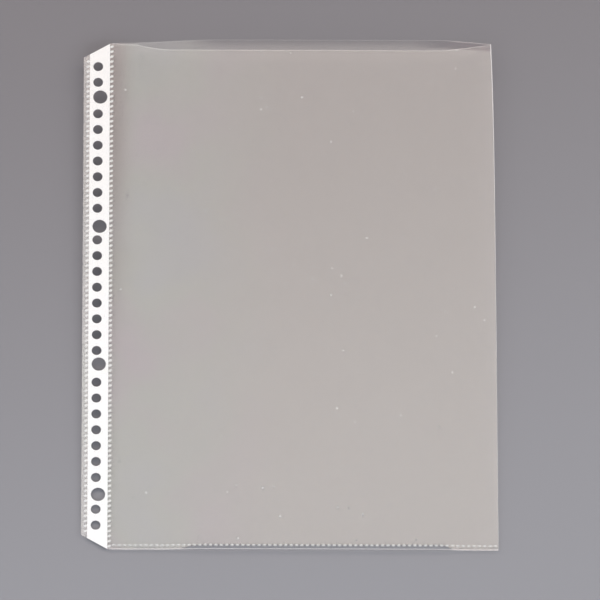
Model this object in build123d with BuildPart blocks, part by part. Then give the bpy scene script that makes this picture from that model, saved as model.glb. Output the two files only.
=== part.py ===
"""A clear A4 pocket page for ring binders, lying with its mouth a little open, in millimetres.

One film is folded along the right-hand side and welded along the bottom. A white reinforcing strip,
punched for the binder's rings, is welded in along the left-hand side. The page creases along the inner
weld, and the front film lifts from the hem to open the mouth. X runs from the binding edge to the fold,
Y from the hem to the mouth, and Z up through the front film.
"""

import os

from build123d import *

# Sheet
sheet_width = 233.0
sheet_height = 304.0
film_thickness = 0.1
corner_cut_height = 8.7
corner_cut_margin = 0.45  # how far the cut corner runs past the reinforcing strip

# Reinforcing strip
strip_inset = 3.4
strip_width = 11.3
strip_thickness = 0.25

# Holes: one row on the loose-leaf pitch, of which four are widened for four-ring binders
hole_count = 30
hole_pitch = 9.5
hole_diameter = 5.5
hole_inset = 8.1
hole_row_shift = 0.2  # towards the mouth
ring_hole_diameter = 8.0
ring_hole_ranks = (4, 12)  # counted outwards from the middle of the row
ring_pitch = 80.0
film_hole_sides = 12

# Welds: rows of fused beads between the two films, which lie closer there than over the strip
weld_pitch = 3.0
weld_thickness = 0.1
weld_clearance = 0.1
side_bead_length = 1.8
side_bead_width = 1.3
side_bead_slant = 0.5
bottom_bead_length = 1.9
bottom_weld_inset = 2.75

# Edges and creases, where the film ends or bends
film_margin = 0.2
crease_gap = 0.6
hem_height = 5.0
hem_gap = 0.3
fold_gap = 0.1

# Mouth: each film's rise or sag there, and the curve that leads to it from the binding edge
cling_width = 12.1
front_rise = 6.5
front_ramp = 50.0
front_start_slope = 0.12
rear_sag = 9.0
rear_ramp = 22.0
rear_start_slope = 0.8
fold_ramp = 28.0
fold_draw_in = 4.1  # how far the open mouth pulls the fold towards the binding edge

# Places that follow from the sizes
binding_x = -sheet_width / 2
hem_y = -sheet_height / 2
mouth_y = sheet_height / 2
pocket_gap = weld_thickness / 2  # from the middle plane to each film, beside the welds
strip_gap = strip_thickness / 2
middle_z = rear_sag + pocket_gap + film_thickness
strip_start = binding_x + strip_inset
strip_end = strip_start + strip_width
corner_cut_width = strip_inset + strip_width + corner_cut_margin
outer_weld_x = strip_start - weld_clearance - side_bead_length / 2
inner_weld_x = strip_end + weld_clearance + side_bead_length / 2
binding_film_end = inner_weld_x + side_bead_length / 2 + film_margin
pocket_start = binding_film_end + crease_gap
hem_end_y = hem_y + hem_height
front_start_y = hem_end_y + hem_gap
fold_radius = pocket_gap + film_thickness


def hole_places():
    """Centres of the plain holes and of the ring holes, whose outer edges line up."""
    row_x = binding_x + hole_inset
    ring_x = row_x + (ring_hole_diameter - hole_diameter) / 2
    plain, rings = [], []
    for rank in range(hole_count // 2):
        row_offset = (rank + 0.5) * hole_pitch
        for side in (-1, 1):
            if rank in ring_hole_ranks:
                # midway between the row's own place and the binder's ring, to serve both
                ring_offset = (ring_hole_ranks.index(rank) + 0.5) * ring_pitch
                rings.append((ring_x, hole_row_shift + side * (row_offset + ring_offset) / 2))
            else:
                plain.append((row_x, hole_row_shift + side * row_offset))
    return plain, rings


def faceted_hole(radius):
    """A many-sided hole that clears a round one of the same radius."""
    return RegularPolygon(radius, side_count=film_hole_sides, major_radius=False)


def cut_away(hole):
    """What the cut corners and the punch take out of a layer of the binding edge."""
    plain, rings = hole_places()
    with BuildSketch() as removed:
        for edge_y, inwards in ((hem_y, 1), (mouth_y, -1)):
            Polygon(
                (binding_x, edge_y),
                (binding_x + corner_cut_width, edge_y),
                (binding_x, edge_y + inwards * corner_cut_height),
                align=None,
            )
        with Locations(*plain):
            hole(hole_diameter / 2)
        with Locations(*rings):
            hole(ring_hole_diameter / 2)
    return removed.sketch


def binding_film(side):
    """The film over one face of the strip, pressed down to the welds on both sides of it."""
    inner = (
        (binding_x, pocket_gap),
        (strip_start - weld_clearance, pocket_gap),
        (strip_start, strip_gap),
        (strip_end, strip_gap),
        (strip_end + weld_clearance, pocket_gap),
        (binding_film_end, pocket_gap),
    )
    outer = [(x, gap + film_thickness) for x, gap in reversed(inner)]
    with BuildPart() as film:
        with BuildSketch(Plane.XZ):
            with BuildLine():
                Polyline([(x, middle_z + side * gap) for x, gap in (*inner, *outer)], close=True)
            make_face()
        extrude(amount=sheet_height / 2, both=True)
        extrude(cut_away(faceted_hole), amount=2 * middle_z, mode=Mode.SUBTRACT)
    return film


def side_weld(x, half_length):
    """A row of slanted beads along Y that fills the gap between the films."""
    count = int(2 * half_length // weld_pitch)
    half_bead, half_width, lean = side_bead_length / 2, side_bead_width / 2, side_bead_slant / 2
    with BuildPart() as row:
        with BuildSketch(Plane.XY.offset(middle_z - pocket_gap)):
            with Locations((x, 0)):
                with GridLocations(0, weld_pitch, 1, count):
                    Polygon(
                        (-half_bead, -half_width - lean),
                        (half_bead, -half_width + lean),
                        (half_bead, half_width + lean),
                        (-half_bead, half_width - lean),
                    )
        extrude(amount=weld_thickness)
    return row


def fold_x(share):
    """X of the folded edge at a share of the way from the hem to the mouth."""
    return sheet_width / 2 - fold_draw_in * share


def film_end_x(share):
    """X where the two films meet the folded edge."""
    return fold_x(share) - fold_radius - fold_gap


def film_section(y, share, side, peak, ramp, start_slope):
    """A film's section across the pocket: flat by the crease, a ramp, a plateau and the slope to the fold."""
    inner = middle_z + side * pocket_gap
    height = side * peak * share
    cling_end = pocket_start + cling_width
    plateau_start = cling_end + ramp
    plateau_end = fold_x(1) - fold_ramp
    end = film_end_x(share)
    fold_slope = (end - plateau_end, -height)
    with BuildSketch(Plane.XZ.offset(-y)) as section:
        with BuildLine():
            for level in (inner, inner + side * film_thickness):
                Line((pocket_start, level), (cling_end, level))
                Spline(
                    (cling_end, level),
                    (plateau_start, level + height),
                    tangents=((1, side * start_slope * share), (1, 0)),
                )
                Line((plateau_start, level + height), (plateau_end, level + height))
                # a straight spline stays an edge of its own where the film lies flat, as a line would not
                Spline((plateau_end, level + height), (end, level), tangents=(fold_slope, fold_slope))
            for x in (pocket_start, end):
                Line((x, inner), (x, inner + side * film_thickness))
        make_face()
    return section.sketch


def fold_section(y, share):
    """The folded edge's section: a half ring that joins the two films."""
    with BuildSketch(Plane.XZ.offset(-y)) as section:
        with Locations((fold_x(share) - fold_radius, middle_z)):
            Circle(fold_radius)
            Circle(pocket_gap, mode=Mode.SUBTRACT)
            Rectangle(
                fold_radius,
                2 * fold_radius,
                align=(Align.MIN, Align.CENTER),
                mode=Mode.INTERSECT,
            )
    return section.sketch


with BuildPart() as reinforcing_strip:
    with BuildSketch(Plane.XY.offset(middle_z - strip_gap)):
        with Locations(((strip_start + strip_end) / 2, 0)):
            Rectangle(strip_width, sheet_height)
    extrude(amount=strip_thickness)
    extrude(cut_away(Circle), amount=2 * middle_z, mode=Mode.SUBTRACT)

binding_film_front = binding_film(1)
binding_film_rear = binding_film(-1)
outer_weld = side_weld(outer_weld_x, mouth_y - corner_cut_height)
inner_weld = side_weld(inner_weld_x, mouth_y - film_margin)

with BuildPart() as rear_film:
    loft(
        [
            film_section(hem_end_y, 0, -1, rear_sag, rear_ramp, rear_start_slope),
            film_section(mouth_y, 1, -1, rear_sag, rear_ramp, rear_start_slope),
        ],
        ruled=True,
    )
    with BuildSketch(Plane.XY.offset(middle_z - pocket_gap)):
        with Locations((pocket_start, hem_y)):
            Rectangle(film_end_x(0) - pocket_start, hem_height, align=(Align.MIN, Align.MIN))
    extrude(amount=-film_thickness)

with BuildPart() as front_film:
    loft(
        [
            film_section(front_start_y, 0, 1, front_rise, front_ramp, front_start_slope),
            film_section(mouth_y, 1, 1, front_rise, front_ramp, front_start_slope),
        ],
        ruled=True,
    )

# The front film's own hem stays with the bottom weld when the front film lifts
with BuildPart() as bottom_hem:
    with BuildSketch(Plane.XY.offset(middle_z + pocket_gap)):
        with Locations((pocket_start, hem_y)):
            Rectangle(film_end_x(0) - pocket_start, hem_height, align=(Align.MIN, Align.MIN))
    extrude(amount=film_thickness)

with BuildPart() as side_fold:
    loft(
        [fold_section(hem_y, 0), fold_section(hem_end_y, 0), fold_section(mouth_y, 1)],
        ruled=True,
    )

with BuildPart() as bottom_weld:
    weld_length = film_end_x(0) - pocket_start - 2 * film_margin
    with BuildSketch(Plane.XY.offset(middle_z - pocket_gap)):
        with Locations(((pocket_start + film_end_x(0)) / 2, hem_y + bottom_weld_inset)):
            with GridLocations(weld_pitch, 0, int(weld_length // weld_pitch), 1):
                RegularPolygon(bottom_bead_length / 2, side_count=6, rotation=90)
    extrude(amount=weld_thickness)

pieces = {
    "reinforcing_strip": reinforcing_strip,
    "binding_film_front": binding_film_front,
    "binding_film_rear": binding_film_rear,
    "outer_weld": outer_weld,
    "inner_weld": inner_weld,
    "rear_film": rear_film,
    "front_film": front_film,
    "bottom_hem": bottom_hem,
    "side_fold": side_fold,
    "bottom_weld": bottom_weld,
}

os.makedirs("parts", exist_ok=True)
for name, piece in pieces.items():
    piece.part.label = name
    export_step(piece.part, f"parts/{name}.step")
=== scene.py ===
import math

import bmesh
import bpy
from mathutils import Matrix, Vector


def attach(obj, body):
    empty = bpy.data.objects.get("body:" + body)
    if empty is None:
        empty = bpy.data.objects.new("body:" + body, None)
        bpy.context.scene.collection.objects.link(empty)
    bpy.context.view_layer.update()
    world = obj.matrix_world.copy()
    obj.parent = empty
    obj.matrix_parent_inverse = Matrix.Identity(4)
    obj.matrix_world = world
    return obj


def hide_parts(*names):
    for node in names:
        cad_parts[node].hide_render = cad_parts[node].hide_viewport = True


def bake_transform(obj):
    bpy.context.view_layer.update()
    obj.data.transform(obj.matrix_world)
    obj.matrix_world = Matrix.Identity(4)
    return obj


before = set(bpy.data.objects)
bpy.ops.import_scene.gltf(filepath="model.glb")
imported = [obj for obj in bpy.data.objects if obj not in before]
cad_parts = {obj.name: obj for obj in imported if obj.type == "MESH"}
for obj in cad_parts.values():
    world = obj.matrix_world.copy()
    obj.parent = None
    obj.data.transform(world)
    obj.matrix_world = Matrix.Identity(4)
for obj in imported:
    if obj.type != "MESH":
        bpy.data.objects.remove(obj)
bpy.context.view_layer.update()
scene = bpy.context.scene
scene.view_settings.view_transform = "Standard"
mm = 0.001
print("solids loaded:", len(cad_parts))

# the page's main lines in millimetres, as the solids have them
page = {
    "left": -116.5,
    "right": 116.5,
    "hem": -152.0,
    "mouth": 152.0,
    "middle": 9.15,  # height of the plane through the strip and the welds
    "film": 0.1,
    "weldGap": 0.05,  # from that plane to each film
    "stripGap": 0.14,  # the same over the strip
    "weldLine": -100.8,  # the binding films end under the inner weld
    "creaseStart": -99.8,
    "creaseEnd": -97.2,
    "hemTop": -147.0,
    "edgeBand": 0.55,  # how far a cut edge's painted highlight reaches into the film
}


def clamp(t):
    return min(max(t, 0.0), 1.0)


def smooth(t):
    t = clamp(t)
    return t * t * (3 - 2 * t)


def between(ends, t):
    return ends[0] + (ends[1] - ends[0]) * t


# camera
shot = {
    "tilt": 21.27,
    "turn": 0.17,
    "sensor": 36.0,
    "lens": 1650.0,
    "width": 335.9,  # what the picture spans at the target
    "target": (5.3, -2.35, 9.15),
}
camera = bpy.data.objects.new("camera", bpy.data.cameras.new("camera"))
scene.collection.objects.link(camera)
camera.data.sensor_width = shot["sensor"]
camera.data.lens = shot["lens"]
camera.rotation_mode = "ZYX"
tilt = math.radians(shot["tilt"])
camera.rotation_euler = (tilt, 0, math.radians(shot["turn"]))
back = Vector((0, -math.sin(tilt), math.cos(tilt)))
distance = shot["width"] * mm * shot["lens"] / shot["sensor"]
camera.location = Vector(shot["target"]) * mm + back * distance
scene.camera = camera


# node trees and objects
def nodeTree(material):
    material.use_nodes = True
    tree = material.node_tree
    tree.nodes.clear()
    return tree


def add(tree, kind, **values):
    node = tree.nodes.new(kind)
    for name, value in values.items():
        if hasattr(node, name):
            setattr(node, name, value)
        else:
            node.inputs[name.replace("_", " ")].default_value = value
    return node


def mathNode(tree, operation, *values):
    node = tree.nodes.new("ShaderNodeMath")
    node.operation = operation
    for socket, value in zip(node.inputs, values):
        if isinstance(value, (int, float)):
            socket.default_value = value
        else:
            tree.links.new(value, socket)
    return node.outputs[0]


def ramp(tree, value, low, high):
    node = add(tree, "ShaderNodeMapRange", interpolation_type="SMOOTHSTEP")
    tree.links.new(value, node.inputs["Value"])
    node.inputs["From Min"].default_value = low
    node.inputs["From Max"].default_value = high
    return node.outputs["Result"]


def colorRamp(tree, value, *stops):
    node = add(tree, "ShaderNodeValToRGB")
    tree.links.new(value, node.inputs["Fac"])
    elements = node.color_ramp.elements
    for element, (position, color) in zip(elements, (stops[0], stops[-1])):
        element.position, element.color = position, color
    for position, color in stops[1:-1]:
        elements.new(position).color = color
    return node.outputs["Color"]


def mixColors(tree, factor, a, b):
    node = add(tree, "ShaderNodeMix", data_type="RGBA")
    tree.links.new(factor, node.inputs["Factor"])
    tree.links.new(a, node.inputs["A"])
    if isinstance(b, tuple):
        node.inputs["B"].default_value = b
    else:
        tree.links.new(b, node.inputs["B"])
    return node.outputs["Result"]


def mixShaders(tree, factor, a, b):
    node = add(tree, "ShaderNodeMixShader")
    if isinstance(factor, float):
        node.inputs[0].default_value = factor
    else:
        tree.links.new(factor, node.inputs[0])
    tree.links.new(a.outputs[0], node.inputs[1])
    tree.links.new(b.outputs[0], node.inputs[2])
    return node


def split(tree, vector):
    parts = add(tree, "ShaderNodeSeparateXYZ")
    tree.links.new(vector, parts.inputs[0])
    return parts.outputs[0], parts.outputs[1]


def objectPlace(tree):
    return add(tree, "ShaderNodeTexCoord").outputs["Object"]


def show(tree, shader):
    out = add(tree, "ShaderNodeOutputMaterial")
    tree.links.new(shader.outputs[0], out.inputs["Surface"])


def makeObject(name, bm, *materials):
    mesh = bpy.data.meshes.new(name)
    bm.to_mesh(mesh)
    bm.free()
    for material in materials:
        mesh.materials.append(material)
    obj = bpy.data.objects.new(name, mesh)
    scene.collection.objects.link(obj)
    return obj


# light, in metres and degrees
light = {
    "height": 1.6,
    "soft": 0.35,  # how far each box fades at its near and far edge
    # a warm arch that the film mirrors and a cooler box behind the camera; with the room, white light
    "key": {"from": (-2.1, 0.08), "to": (2.1, 1.5), "bow": 60.0, "color": (1.92, 1.755, 1.61, 1)},
    "fill": {"from": (-2.2, -2.6), "to": (2.2, -0.4), "bow": 1.0, "color": (1.9, 1.98, 2.1, 1)},
    "room": (0.42, 0.46, 0.52, 1),
}


def makeSoftbox(name):
    form = light[name]
    low, high = form["from"], form["to"]
    bow = math.radians(form["bow"])
    bm = bmesh.new()
    bmesh.ops.create_grid(bm, x_segments=32, y_segments=1, size=0.5)
    for v in bm.verts:
        turn = bow * 2 * v.co.x
        v.co.x = (low[0] + high[0]) / 2 + (high[0] - low[0]) / 2 * math.sin(turn) / math.sin(bow)
        v.co.y = (low[1] + high[1]) / 2 + (high[1] - low[1]) * v.co.y
        v.co.z = light["height"] * math.cos(turn)
    bmesh.ops.reverse_faces(bm, faces=bm.faces)
    glow = bpy.data.materials.new(name + "Glow")
    box = makeObject(name, bm, glow)
    tree = nodeTree(glow)
    y = split(tree, objectPlace(tree))[1]
    nearEdge = ramp(tree, y, low[1], low[1] + light["soft"])
    farEdge = ramp(tree, y, high[1], high[1] - light["soft"])
    strength = mathNode(tree, "MULTIPLY", nearEdge, farEdge)
    emit = add(tree, "ShaderNodeEmission", Color=form["color"])
    tree.links.new(strength, emit.inputs["Strength"])
    show(tree, emit)
    box.visible_camera = False
    box.visible_shadow = False


makeSoftbox("key")
makeSoftbox("fill")

room = bpy.data.worlds.new("room")
room.use_nodes = True
room.node_tree.nodes["Background"].inputs["Color"].default_value = light["room"]
room.node_tree.nodes["Background"].inputs["Strength"].default_value = 1.0
scene.world = room

# table, in millimetres but for its paint
table = {
    "lean": 7.6 / 304.0,
    "crest": -156.0,
    "round": 0.25,
    "gap": 0.01,  # below the rear film at the mouth
    "reach": 2500.0,
    "rough": 0.9,
    # painted shade: the table's grey is lighter near the camera and darker away from it, in place of
    # light that falls off across the table
    "near": (0.320, 0.316, 0.334, 1),
    "far": (0.230, 0.217, 0.229, 1),
    "fade": (-0.22, 0.26),  # where the lit near grey gives way to the painted shade of the far one, in metres
    "fadeTurn": -0.2,  # how much of the way across counts as well
}


def tableHeight(y):
    # the page lies on it: highest just before the hem, lowest under the open mouth
    away = table["lean"] * (y - table["crest"])
    top = table["lean"] * (page["mouth"] - table["crest"]) - table["gap"]
    return top - math.hypot(away, table["round"])


def makeTable():
    bm = bmesh.new()
    bmesh.ops.create_grid(bm, x_segments=1, y_segments=160, size=0.5)
    for v in bm.verts:
        v.co.x *= 2 * table["reach"]
        t = 2 * v.co.y
        v.co.y = table["crest"] + math.copysign(abs(t) ** 3, t) * table["reach"]
        v.co.z = tableHeight(v.co.y)
    for face in bm.faces:
        face.smooth = True
    bmesh.ops.scale(bm, vec=(mm, mm, mm), verts=bm.verts)
    paint = bpy.data.materials.new("greyTable")
    tree = nodeTree(paint)
    x, y = split(tree, objectPlace(tree))
    # painted shade: the grey darkens away from the camera and a little towards the left
    away = mathNode(tree, "MULTIPLY_ADD", x, table["fadeTurn"], y)
    shade = colorRamp(tree, ramp(tree, away, *table["fade"]), (0, table["near"]), (1, table["far"]))
    grey = add(tree, "ShaderNodeBsdfPrincipled", Roughness=table["rough"], Specular_IOR_Level=0.1)
    tree.links.new(shade, grey.inputs["Base Color"])
    show(tree, grey)
    makeObject("table", bm, paint)


makeTable()
print("camera, light and table set")

# materials; places on the film are in metres across and along the page
filmLook = {
    "faceOn": 0.042,  # share of light that each face of the film throws back
    "clear": (0.994, 0.994, 0.993, 1),
    "rough": 0.06,
    "haze": 0.006,
    "veil": (0.92, 0.91, 0.90, 1),
    # faint pastel patches near the binding edge; beyond them a warm painted reflection, dimmer from the
    # hem towards the mouth
    "patchScale": 15.0,
    "patches": (
        (0.34, (0.95, 0.90, 0.97, 1)),
        (0.5, (0.92, 0.975, 0.94, 1)),
        (0.66, (0.90, 0.95, 1.0, 1)),
    ),
    "patchFade": (-0.09, 0.01),
    "hemPaintedReflection": (0.985, 0.968, 0.945, 1),
    "mouthPaintedReflection": (0.90, 0.862, 0.852, 1),
    "paintedReflectionFade": (-0.12, 0.17),
    # painted shade: the film's reflection is darker beside the inner weld, most of all towards the
    # mouth, as in the photo
    "paintedWeldShade": {"color": (0.74, 0.67, 0.65, 1), "across": (-0.086, -0.100), "along": (-0.08, 0.15)},
    # painted shade as well at the mouth's outer corner, where the front film turns down to the fold
    "paintedBendShade": {"color": (0.22, 0.13, 0.15, 1), "across": (0.064, 0.087), "along": (0.1465, 0.1485)},
    # dust lies on the front film as small milky specks, few of them bright
    "dust": {"bright": 0.4, "rare": 3.0, "scale": 70.0, "size": (0.056, 0.02)},
}


def makeFilm(name, haze=filmLook["haze"], veil=filmLook["veil"], dusty=False, bendShaded=False):
    film = bpy.data.materials.new(name)
    tree = nodeTree(film)
    place = add(tree, "ShaderNodeUVMap", uv_map="filmMap").outputs["UV"]
    across, along = split(tree, place)

    patches = add(tree, "ShaderNodeTexNoise", Scale=filmLook["patchScale"], Detail=2.0, Roughness=0.45)
    tree.links.new(place, patches.inputs["Vector"])
    pastel = colorRamp(tree, patches.outputs["Fac"], *filmLook["patches"])
    # painted reflection: the gloss colour is lighter at the hem and darker towards the mouth, in place
    # of the mirrored light changing across the page
    paintedReflectionFade = ramp(tree, along, *filmLook["paintedReflectionFade"])
    paintedReflectionTone = colorRamp(tree, paintedReflectionFade, (0, filmLook["hemPaintedReflection"]), (1, filmLook["mouthPaintedReflection"]))
    tintAndPaintedShade = mixColors(tree, ramp(tree, across, *filmLook["patchFade"]), pastel, paintedReflectionTone)

    # painted shade: each zone mixes a darker colour into the gloss colour, so the film mirrors less
    # light there
    for zone in [filmLook["paintedWeldShade"], filmLook["paintedBendShade"]] if bendShaded else [filmLook["paintedWeldShade"]]:
        reachAcross = ramp(tree, across, *zone["across"])
        reachAlong = ramp(tree, along, *zone["along"])
        tintAndPaintedShade = mixColors(tree, mathNode(tree, "MULTIPLY", reachAcross, reachAlong), tintAndPaintedShade, zone["color"])
    gloss = add(tree, "ShaderNodeBsdfAnisotropic", Roughness=filmLook["rough"])
    tree.links.new(tintAndPaintedShade, gloss.inputs["Color"])

    milk = haze
    if dusty:
        dust = filmLook["dust"]
        specks = add(tree, "ShaderNodeTexVoronoi", voronoi_dimensions="2D", Scale=dust["scale"])
        specks.inputs["Randomness"].default_value = 1.0
        tree.links.new(place, specks.inputs["Vector"])
        kind = add(tree, "ShaderNodeSeparateColor")
        tree.links.new(specks.outputs["Color"], kind.inputs[0])
        rare = mathNode(tree, "POWER", kind.outputs[2], dust["rare"])
        bright = mathNode(tree, "MULTIPLY", rare, dust["bright"])
        spot = ramp(tree, specks.outputs["Distance"], *dust["size"])
        milk = mathNode(tree, "MULTIPLY_ADD", spot, bright, haze)
    seeThrough = add(tree, "ShaderNodeBsdfTransparent", Color=filmLook["clear"])
    body = mixShaders(tree, milk, seeThrough, add(tree, "ShaderNodeBsdfDiffuse", Color=veil))

    # a film's mirror gets stronger towards a glancing look, by Schlick's rule
    facing = add(tree, "ShaderNodeLayerWeight", Blend=0.5).outputs["Facing"]
    grazing = mathNode(tree, "POWER", facing, 5.0)
    mirror = mathNode(tree, "MULTIPLY_ADD", grazing, 1.0 - filmLook["faceOn"], filmLook["faceOn"])
    show(tree, mixShaders(tree, mirror, body, gloss))
    return film


clearFilm = makeFilm("clearFilm")
dustyFilm = makeFilm("dustyFilm", dusty=True)
bendShadedFilm = makeFilm("bendShadedFilm", dusty=True, bendShaded=True)
# milkier where the film is sealed or folded; at its cut edges the milkier band is a painted highlight,
# the light a cut edge catches
frontEdgeHighlight = makeFilm("frontEdgeHighlight", haze=0.045, veil=(0.95, 0.90, 0.89, 1))
rearEdgeHighlight = makeFilm("rearEdgeHighlight", haze=0.14, veil=(0.95, 0.92, 0.91, 1))
hemEdgeHighlight = makeFilm("hemEdgeHighlight", haze=0.2, veil=(0.96, 0.93, 0.92, 1))
sealedFilm = makeFilm("sealedFilm", haze=0.09, veil=(0.95, 0.94, 0.93, 1))
foldedFilm = makeFilm("foldedFilm", haze=0.3, veil=(0.95, 0.93, 0.92, 1))

whiteLook = {
    "strip": {"color": (0.965, 0.965, 0.965), "rough": 0.42, "grain": 900.0, "depth": 0.00002},
    "weld": {"color": (0.93, 0.92, 0.91), "rough": 0.55, "grain": 2600.0, "depth": 0.00003},
    "grainShade": 0.97,  # how dark the grain's low spots are
    "grainBump": 0.3,
}


def makeWhite(name, kind, alpha=1.0):
    look = whiteLook[kind]
    white = bpy.data.materials.new(name)
    tree = nodeTree(white)
    grain = add(tree, "ShaderNodeTexNoise", Scale=look["grain"], Detail=4.0)
    tree.links.new(objectPlace(tree), grain.inputs["Vector"])
    dark = (*[c * whiteLook["grainShade"] for c in look["color"]], 1)
    shade = colorRamp(tree, grain.outputs["Fac"], (0, dark), (1, (*look["color"], 1)))
    bump = add(tree, "ShaderNodeBump", Strength=whiteLook["grainBump"], Distance=look["depth"])
    tree.links.new(grain.outputs["Fac"], bump.inputs["Height"])
    plastic = add(tree, "ShaderNodeBsdfPrincipled", Roughness=look["rough"], Alpha=alpha)
    tree.links.new(shade, plastic.inputs["Base Color"])
    tree.links.new(bump.outputs[0], plastic.inputs["Normal"])
    show(tree, plastic)
    return white


whiteStrip = makeWhite("whiteStrip", "strip")
frostedWeld = makeWhite("frostedWeld", "weld", alpha=0.85)
hemWeld = makeWhite("hemWeld", "weld", alpha=0.66)
print("materials made")

# how the two films stand off each other
bulge = {
    "clingEnd": -87.0,
    # each film's rise to its plateau: how wide it is and how steeply it starts, far in and at the mouth
    "front": {"height": 5.4, "flare": 1.1, "ramp": (90.0, 50.0), "start": (1.2, 0.92)},
    "rear": {"height": 9.0, "flare": 0.0, "ramp": (100.0, 22.0), "start": (1.4, 2.0)},
    "flareReach": 12.0,  # how far in from the mouth the front film turns up
    "mouthReach": 0.5,
    "plateauEnd": 84.4,
    "kink": 2.5,  # how softly the plateau turns down to the fold
    "drawIn": 4.15,
    "drawLate": 0.32,  # share of that which comes close to the mouth
    "foldOpen": 0.6,  # how much rounder the fold is at the mouth
    "peel": 1.1,  # rise beside the inner weld
    "peelWidth": 10.0,
    "curl": 1.25,  # rise of the hem's edge
    "curlReach": 6.5,
    "curlFrom": (-74.0, -48.0),
    "curlTo": (98.0, 84.0),
}


def share(y):
    # of the way from the hem to the mouth
    return clamp((y - page["hemTop"]) / (page["mouth"] - page["hemTop"]))


def foldEdge(y):
    t = share(y)
    return page["right"] - bulge["drawIn"] * ((1 - bulge["drawLate"]) * t + bulge["drawLate"] * t ** 8)


def foldRadius(y):
    return page["weldGap"] + page["film"] + bulge["foldOpen"] * share(y) ** 3


def foldLine(y):
    # where both films run into the fold
    return foldEdge(y) - foldRadius(y)


def hemCurl(x, y):
    across = smooth((x - bulge["curlFrom"][0]) / (bulge["curlFrom"][1] - bulge["curlFrom"][0]))
    across *= smooth((bulge["curlTo"][0] - x) / (bulge["curlTo"][0] - bulge["curlTo"][1]))
    reach = max(page["hem"] + bulge["curlReach"] - y, 0.0) / bulge["curlReach"]
    return bulge["curl"] * across * reach * reach


def standOff(x, y, side):
    # height of a film over the weld plane, not counting its own thickness
    form = bulge["front" if side > 0 else "rear"]
    t = share(y)
    # a curve that starts at a slope and ends level on the plateau
    near = smooth(1 - (1 - t) / bulge["mouthReach"])
    start = between(form["start"], near)
    s = clamp((x - bulge["clingEnd"]) / between(form["ramp"], near))
    rise = (s ** 3 - 2 * s * s + s) * start + 3 * s * s - 2 * s ** 3
    # from the plateau a soft turn and a straight slope to the fold
    slopeWidth = foldLine(y) - bulge["plateauEnd"]
    left = (foldLine(y) - x) / slopeWidth
    soft = bulge["kink"] / slopeWidth
    fall = 1.0
    if left < 1:
        fall -= (math.hypot(1 - left, soft) - soft) / (math.hypot(1, soft) - soft)
    peeled = clamp((x - page["creaseStart"]) / bulge["peelWidth"])
    peel = bulge["peel"] * t * (1 - (1 - peeled) ** 3) * (1 - rise)
    lip = max(1 - (page["mouth"] - y) / bulge["flareReach"], 0.0)
    height = form["height"] * t + form["flare"] * lip * lip
    opened = (height * rise + peel) * fall + (foldRadius(y) - foldRadius(page["hem"])) * (1 - fall)
    return page["weldGap"] + opened


# sheets
def spread(*marks):
    # places from one mark to the next, each with its own number of steps
    places = [marks[0]]
    for steps, mark in zip(marks[1::2], marks[2::2]):
        first = places[-1]
        places += [first + (mark - first) * (i + 1) / steps for i in range(steps)]
    return places


def layFlat(xs, ys):
    # a flat slab of film between the given lines, with its map
    bm = bmesh.new()
    bmesh.ops.create_grid(bm, x_segments=len(xs) - 1, y_segments=len(ys) - 1, size=0.5)
    for v in bm.verts:
        v.co.x = xs[round((v.co.x + 0.5) * (len(xs) - 1))]
        v.co.y = ys[round((v.co.y + 0.5) * (len(ys) - 1))]
    return thicken(bm)


def thicken(bm):
    filmMap = bm.loops.layers.uv.new("filmMap")
    bmesh.ops.solidify(bm, geom=bm.faces[:], thickness=page["film"])
    low = min(v.co.z for v in bm.verts)
    bmesh.ops.translate(bm, vec=(0, 0, -low), verts=bm.verts)
    bmesh.ops.recalc_face_normals(bm, faces=bm.faces)
    bm.normal_update()
    for face in bm.faces:
        face.smooth = True
        for loop in face.loops:
            loop[filmMap].uv = (loop.vert.co.x * mm, loop.vert.co.y * mm)
    for edge in bm.edges:
        flat = {abs(f.normal.z) > 0.5 for f in edge.link_faces}
        edge.smooth = len(flat) == 1
    return bm


def markEdges(bm):
    # painted highlight: the film's cut edges glow a little way in as a milkier band: the second material
    # at the mouth, the third at the hem
    for face in bm.faces:
        y = face.calc_center_median().y
        for index, place in enumerate((page["mouth"], page["hem"])):
            if abs(y - place) < page["edgeBand"]:
                face.material_index = index + 1
    return bm


def makePiece(name, bm, *materials):
    bmesh.ops.scale(bm, vec=(mm, mm, mm), verts=bm.verts)
    return makeObject(name, bm, *materials)


def layer(off, side, depth):
    # height of a point in a film that stands off the weld plane to one side
    return page["middle"] + side * off + (depth if side > 0 else depth - page["film"])


def shapeFilm(bm, side):
    for v in bm.verts:
        x, y, depth = v.co
        if x > bulge["plateauEnd"]:
            # the slope narrows as the fold draws in
            wide = foldLine(page["hem"]) - bulge["plateauEnd"]
            narrow = foldLine(y) - bulge["plateauEnd"]
            x = bulge["plateauEnd"] + (x - bulge["plateauEnd"]) * narrow / wide
        v.co.x = x
        v.co.z = layer(standOff(x, y, side), side, depth) + hemCurl(x, y)
    return bm


# the grid's lines, closer together where the film bends more
grid = {
    "seam": 20.0,  # between the front panel's two halves
    "rearRampEnd": -65.2,
    "plateauTurn": 4.0,  # each way from the plateau's end
    "hemZone": -140.0,
    "mouthZone": 110.0,
}
seam = grid["seam"]
filmEnd = foldLine(page["hem"])
mouthEdge = page["mouth"] - page["edgeBand"]
hemEdge = page["hem"] + page["edgeBand"]
turnStart, turnEnd = bulge["plateauEnd"] - grid["plateauTurn"], bulge["plateauEnd"] + grid["plateauTurn"]
alongHem = spread(page["hem"], 1, hemEdge, 8, page["hemTop"])
alongPocket = spread(
    page["hemTop"], 6, grid["hemZone"], 40, grid["mouthZone"], 18, mouthEdge, 1, page["mouth"]
)
alongAll = alongHem + alongPocket[1:]
acrossCrease = spread(page["weldLine"], 2, page["creaseStart"], 8, page["creaseEnd"])
acrossLeft = spread(page["creaseEnd"], 8, bulge["clingEnd"], 16, grid["rearRampEnd"], 16, seam)
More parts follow.
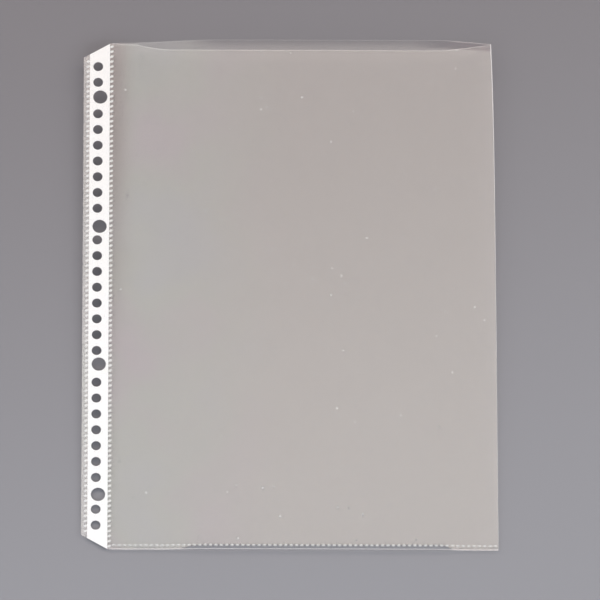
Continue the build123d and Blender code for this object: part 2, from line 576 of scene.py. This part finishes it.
acrossRight = spread(seam, 12, turnStart, 6, turnEnd, 10, filmEnd)
acrossPocket = acrossLeft + acrossRight[1:]


def makeSheet(name, xs, ys, side, *materials):
    return makePiece(name, shapeFilm(markEdges(layFlat(xs, ys)), side), *materials)


acrossAll = acrossCrease + acrossPocket[1:]
rearFilm = makeSheet("rear_panel", acrossAll, alongAll, -1, clearFilm, rearEdgeHighlight, hemEdgeHighlight)
creaseFront = makeSheet("front_crease", acrossCrease, alongAll, 1, clearFilm, rearEdgeHighlight, hemEdgeHighlight)
for film in (rearFilm, creaseFront):
    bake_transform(film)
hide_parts("rear_film")

frontHem = makeSheet("front_hem", acrossPocket, alongHem, 1, clearFilm, rearEdgeHighlight, hemEdgeHighlight)
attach(frontHem, "pocket")
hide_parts("bottom_hem")

frontLeft = makeSheet("front_panel_left", acrossLeft, alongPocket, 1, dustyFilm, frontEdgeHighlight)
frontRight = makeSheet("front_panel_right", acrossRight, alongPocket, 1, bendShadedFilm, frontEdgeHighlight)
for half, fixedX in ((frontLeft, page["creaseEnd"]), (frontRight, filmEnd)):
    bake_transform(half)
    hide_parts("front_film")


def makeFold():
    # a half turn, laid out in degrees across
    bm = layFlat(spread(-90.0, 10, 90.0), alongAll)
    for v in bm.verts:
        turn, y, depth = v.co
        radius = foldRadius(y) - page["film"] + depth
        v.co.x = foldLine(y) + radius * math.cos(math.radians(turn))
        v.co.z = page["middle"] + radius * math.sin(math.radians(turn)) + hemCurl(v.co.x, y)
    return makePiece("side_fold_film", bm, foldedFilm)


fold = makeFold()
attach(fold, "pocket")
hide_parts("side_fold")

print("pocket films laid")

# binding edge
binding = {
    "cut": (-101.35, 8.7),  # where a cut corner ends along the short side, and its height
    "row": -108.4,
    "pitch": 9.5,
    "shift": 0.2,
    "count": 30,
    "hole": 2.78,
    "ringRow": -107.15,
    "ringHole": 4.03,
    "rings": {4: 41.375, 12: 119.375},  # how far from the row's middle
    "stepIn": (-113.1, -101.8),
    "step": 0.35,  # how far across the film takes to come down from the strip
    "quarterHandle": 0.5523,  # a round quarter's handle, as a share of its radius
    "quarterSteps": 9,
    "merge": 0.001,
}


def holeList():
    holes = []
    for rank in range(binding["count"] // 2):
        for side in (-1, 1):
            if rank in binding["rings"]:
                place = (binding["ringRow"], binding["shift"] + side * binding["rings"][rank])
                holes.append((*place, binding["ringHole"]))
            else:
                place = (binding["row"], binding["shift"] + side * (rank + 0.5) * binding["pitch"])
                holes.append((*place, binding["hole"]))
    return holes


def punchFilm(name):
    # the flat film with its cut corners and holes
    flat = bpy.data.curves.new(name, "CURVE")
    flat.dimensions = "2D"
    flat.fill_mode = "BOTH"
    flat.resolution_u = binding["quarterSteps"]
    cutX, cutHeight = binding["cut"]
    corners = [
        (page["left"], page["hem"] + cutHeight),
        (cutX, page["hem"]),
        (page["weldLine"], page["hem"]),
        (page["weldLine"], page["mouth"]),
        (cutX, page["mouth"]),
        (page["left"], page["mouth"] - cutHeight),
    ]
    outline = flat.splines.new("POLY")
    outline.points.add(len(corners) - 1)
    for point, corner in zip(outline.points, corners):
        point.co = (*corner, 0, 1)
    outline.use_cyclic_u = True
    for x, y, radius in holeList():
        ring = flat.splines.new("BEZIER")
        ring.bezier_points.add(3)
        for quarter, point in enumerate(ring.bezier_points):
            turn = quarter * math.pi / 2
            spot = Vector((x + radius * math.cos(turn), y + radius * math.sin(turn), 0))
            along = Vector((-math.sin(turn), math.cos(turn), 0)) * radius * binding["quarterHandle"]
            point.co, point.handle_left, point.handle_right = spot, spot - along, spot + along
        ring.use_cyclic_u = True
    sketch = bpy.data.objects.new(name + "Sketch", flat)
    scene.collection.objects.link(sketch)
    mesh = bpy.data.meshes.new_from_object(sketch.evaluated_get(bpy.context.evaluated_depsgraph_get()))
    bpy.data.objects.remove(sketch)
    bm = bmesh.new()
    bm.from_mesh(mesh)
    bpy.data.meshes.remove(mesh)
    bmesh.ops.remove_doubles(bm, verts=bm.verts, dist=binding["merge"])
    return bm


def makeBindingFilm(name, side):
    bm = punchFilm(name)
    stripStart, stripEnd = binding["stepIn"]
    step = binding["step"]
    for x in (stripStart - step, stripStart, stripEnd, stripEnd + step):
        everything = bm.verts[:] + bm.edges[:] + bm.faces[:]
        bmesh.ops.bisect_plane(bm, geom=everything, plane_co=(x, 0, 0), plane_no=(1, 0, 0))
    thicken(bm)
    for face in bm.faces:
        face.material_index = int(face.calc_center_median().x < stripStart)
    for v in bm.verts:
        inside = min(v.co.x - stripStart + step, stripEnd + step - v.co.x) / step
        off = between((page["weldGap"], page["stripGap"]), clamp(inside))
        v.co.z = layer(off, side, v.co.z)
    return makePiece(name, bm, clearFilm, sealedFilm)


for name, side in (("front", 1), ("rear", -1)):
    film = makeBindingFilm("binding_" + name, side)
    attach(film, "binding_edge")
    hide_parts("binding_film_" + name)

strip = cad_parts["reinforcing_strip"]
strip.data.materials.clear()
strip.data.materials.append(whiteStrip)
print("binding edge made")

# welds
welds = {
    "pitch": 3.0,
    "height": 0.17,  # each bead stands a little proud of both films
    "side": {"half": (1.08, 0.82), "slant": 0.26},
    "bottom": {"half": (1.04, 0.72), "slant": 0.0},
    "outerRow": {"x": -114.1, "count": 95},
    "innerRow": {"x": page["weldLine"], "count": 101},
    "bottomRow": {"y": -149.25, "count": 72, "middle": 8.3},
}


def makeWeld(name, places, form, material):
    bm = bmesh.new()
    for x, y in places:
        grow = Matrix.Diagonal((*form["half"], welds["height"], 1))
        grow[1][0] = form["slant"] * form["half"][0]
        at = Matrix.Translation((x, y, page["middle"] + hemCurl(x, y)))
        bmesh.ops.create_uvsphere(bm, u_segments=8, v_segments=6, radius=1.0, matrix=at @ grow)
    for face in bm.faces:
        face.smooth = True
    return makePiece(name, bm, material)


def row(count, middle=0.0):
    return [middle + (i - (count - 1) / 2) * welds["pitch"] for i in range(count)]


def sideRow(form):
    return [(form["x"], y) for y in row(form["count"])]


def bottomRow(form):
    return [(x, form["y"]) for x in row(form["count"], form["middle"])]


for node, places, form, material, body in (
    ("outer_weld", sideRow(welds["outerRow"]), welds["side"], frostedWeld, "binding_edge"),
    ("inner_weld", sideRow(welds["innerRow"]), welds["side"], frostedWeld, "binding_edge"),
    ("bottom_weld", bottomRow(welds["bottomRow"]), welds["bottom"], hemWeld, "pocket"),
):
    weld = makeWeld(node + "_beads", places, form, material)
    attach(weld, body)
    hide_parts(node)
print("welds set")
